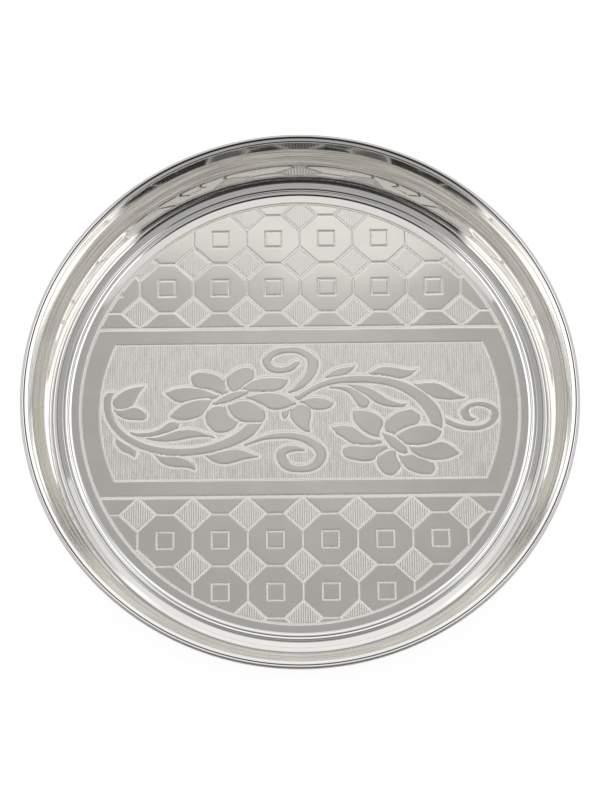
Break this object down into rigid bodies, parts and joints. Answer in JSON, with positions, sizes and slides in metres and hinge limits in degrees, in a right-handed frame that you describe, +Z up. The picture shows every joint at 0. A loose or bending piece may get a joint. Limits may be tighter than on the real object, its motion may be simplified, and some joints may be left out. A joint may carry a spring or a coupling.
{
  "type": "puja thali",
  "caption": "Round metal tray with a low sloping wall, a wired rolled rim and an engraved flat floor, for holding lamps and offerings.",
  "frame": {"origin": "centre of the floor's underside, which is the face that the plate rests on", "axes": "+Z up through the middle of the plate; +X along the long side of the engraved panel; +Y across it"},
  "size_m": [0.25, 0.25, 0.0254],
  "materials": {
    "silvered_sheet": "polished",
    "wire": "satin"
  },
  "bodies": {
    "root": {"dish": "silvered_sheet", "rim_wire": "wire"}
  },
  "joints": []
}
